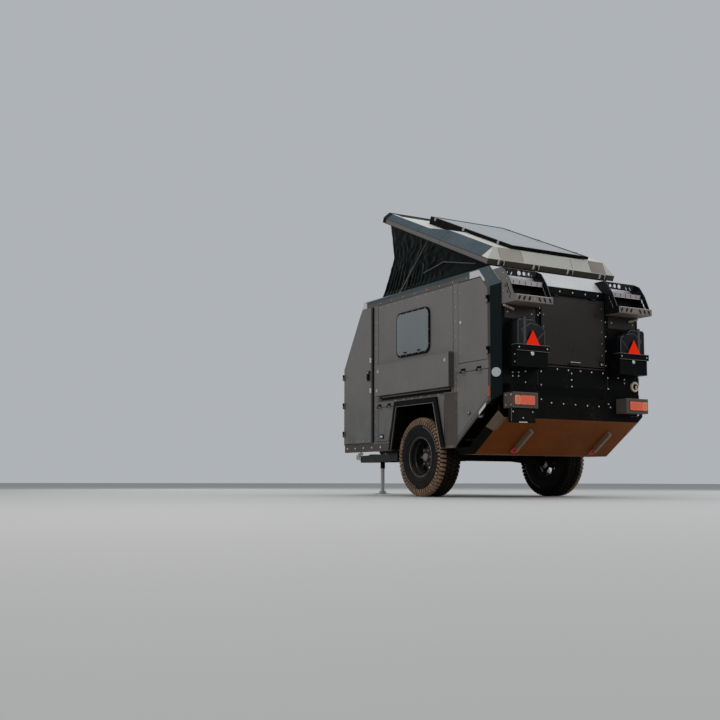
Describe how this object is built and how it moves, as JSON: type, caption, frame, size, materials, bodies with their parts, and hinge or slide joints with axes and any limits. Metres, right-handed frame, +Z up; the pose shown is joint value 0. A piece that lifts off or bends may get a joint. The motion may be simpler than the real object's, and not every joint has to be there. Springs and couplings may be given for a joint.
{
  "type": "off-road camping trailer",
  "caption": "Off-road camping trailer with a lifting roof, bellows, side doors, folding side boxes, rear hatch, racks, drawbar, jack and lugged tyres.",
  "frame": {"origin": "on the ground, under the middle of the trailer's box", "axes": "+X towards the coupling, +Y to the trailer's left side, +Z up"},
  "size_m": [4.517, 2.092, 3.2982],
  "materials": {
    "bellows": "matte",
    "belly": "matte",
    "black_metal": "matte",
    "black_plastic": "matte",
    "edge_paint": "satin",
    "floor": "matte",
    "lamp": "gloss",
    "panel_paint": "satin",
    "red_paint": "satin",
    "roof_shell": "satin",
    "silver": "satin",
    "solar": "gloss",
    "steel": "satin",
    "tyre": "matte",
    "window": "gloss"
  },
  "bodies": {
    "body": {"arch_flares": "black_plastic", "axle_beam": "black_metal", "bellows": "bellows", "belly_plate": "belly", "can_carriers": "black_metal", "chassis_frame": "black_metal", "corner_racks": "black_metal", "coupling_head": "steel", "door_hinges": "black_metal", "drawbar": "black_metal", "edge_plates": "silver", "floor_panel": "floor", "front_posts": "edge_paint", "front_wall": "panel_paint", "jack_tube": "black_metal", "jerry_cans": "black_plastic", "lamp_boxes": "black_metal", "outer_rails": "edge_paint", "plate_holder": "black_metal", "rack_lamps": "black_metal", "rear_posts": "edge_paint", "rear_slope": "silver", "rear_wall": "black_metal", "recovery_arms": "belly", "reflectors": "lamp", "roof_deck": "panel_paint", "roof_rails": "edge_paint", "shackles": "red_paint", "side_markers": "lamp", "side_wall_left": "panel_paint", "side_wall_right": "panel_paint", "tail_lamps": "lamp", "trailing_arms": "black_metal", "wheel_tubs": "black_metal", "window_frames": "black_plastic", "window_panes": "window"},
    "wheel_left": {"rim_left": "black_metal", "tyre_left": "tyre"},
    "front_door_left": {"front_door_left": "panel_paint"},
    "upper_door_left": {"upper_door_left": "panel_paint"},
    "lower_door_left": {"lower_door_left": "panel_paint"},
    "small_hatch_left": {"small_hatch_left": "panel_paint"},
    "side_box_left": {"side_box_left": "panel_paint"},
    "wheel_right": {"rim_right": "black_metal", "tyre_right": "tyre"},
    "front_door_right": {"front_door_right": "panel_paint"},
    "upper_door_right": {"upper_door_right": "panel_paint"},
    "lower_door_right": {"lower_door_right": "panel_paint"},
    "small_hatch_right": {"small_hatch_right": "panel_paint"},
    "side_box_right": {"side_box_right": "panel_paint"},
    "roof": {"lift_roof": "roof_shell", "lift_hinges": "steel", "front_trim": "black_metal", "panel_frame": "black_metal", "solar_panel": "solar"},
    "tail_hatch": {"tail_hatch": "panel_paint"},
    "strut_tubes": {"strut_tubes": "steel"},
    "strut_rods": {"strut_rods": "steel"},
    "jack_leg": {"jack_leg": "steel"}
  },
  "joints": [
    {"name": "wheel_turn_left", "type": "hinge", "parent": "body", "child": "wheel_left", "pos_m": [-0.7265, 0.851, 0.42], "axis": [0, 1, 0], "continuous": true},
    {"name": "front_door_swing_left", "type": "hinge", "parent": "body", "child": "front_door_left", "pos_m": [0.8615, 1.011, 1.1], "axis": [0, 0, -1], "range_deg": [0, 100]},
    {"name": "upper_door_swing_left", "type": "hinge", "parent": "body", "child": "upper_door_left", "pos_m": [-1.9295, 0.991, 1.7], "axis": [0, 0, 1], "range_deg": [0, 110]},
    {"name": "lower_door_lift_left", "type": "hinge", "parent": "body", "child": "lower_door_left", "pos_m": [-1.6765, 0.991, 1.252], "axis": [1, 0, 0], "range_deg": [0, 90]},
    {"name": "small_hatch_lift_left", "type": "hinge", "parent": "body", "child": "small_hatch_left", "pos_m": [-0.0465, 0.991, 0.995], "axis": [1, 0, 0], "range_deg": [0, 90]},
    {"name": "side_box_fold_left", "type": "hinge", "parent": "body", "child": "side_box_left", "pos_m": [-0.6465, 0.991, 1.107], "axis": [-1, 0, 0], "range_deg": [0, 90]},
    {"name": "wheel_turn_right", "type": "hinge", "parent": "body", "child": "wheel_right", "pos_m": [-0.7265, -0.851, 0.42], "axis": [0, 1, 0], "continuous": true},
    {"name": "front_door_swing_right", "type": "hinge", "parent": "body", "child": "front_door_right", "pos_m": [0.8615, -1.011, 1.1], "axis": [0, 0, 1], "range_deg": [0, 100]},
    {"name": "upper_door_swing_right", "type": "hinge", "parent": "body", "child": "upper_door_right", "pos_m": [-1.9295, -0.991, 1.7], "axis": [0, 0, -1], "range_deg": [0, 110]},
    {"name": "lower_door_lift_right", "type": "hinge", "parent": "body", "child": "lower_door_right", "pos_m": [-1.6765, -0.991, 1.252], "axis": [-1, 0, 0], "range_deg": [0, 90]},
    {"name": "small_hatch_lift_right", "type": "hinge", "parent": "body", "child": "small_hatch_right", "pos_m": [-0.0465, -0.991, 0.995], "axis": [-1, 0, 0], "range_deg": [0, 90]},
    {"name": "side_box_fold_right", "type": "hinge", "parent": "body", "child": "side_box_right", "pos_m": [-0.6465, -0.991, 1.107], "axis": [1, 0, 0], "range_deg": [0, 90]},
    {"name": "roof_lift", "type": "hinge", "parent": "body", "child": "roof", "pos_m": [-1.7645, 0, 2.307], "axis": [0, 1, 0], "range_deg": [0, 23.7], "deforming": ["bellows"]},
    {"name": "tail_hatch_lift", "type": "hinge", "parent": "body", "child": "tail_hatch", "pos_m": [-2.0695, 0, 2.013], "axis": [0, 1, 0], "range_deg": [0, 90]},
    {"name": "strut_turn", "type": "hinge", "parent": "body", "child": "strut_tubes", "pos_m": [-0.1065, 0, 2.302], "axis": [0, 1, 0], "range_deg": [-38.48, 0]},
    {"name": "strut_slide", "type": "slide", "parent": "strut_tubes", "child": "strut_rods", "axis": [-0.7504, 0, 0.661], "range_m": [-0.2993, 0]},
    {"name": "jack_wind", "type": "slide", "parent": "body", "child": "jack_leg", "axis": [0, 0, 1], "range_m": [0, 0.26]}
  ],
  "couplings": [
    {"joint": "strut_turn", "follows": "roof_lift", "ratio": -1.6153},
    {"joint": "strut_slide", "follows": "roof_lift", "m_per_rad": -0.7212}
  ]
}
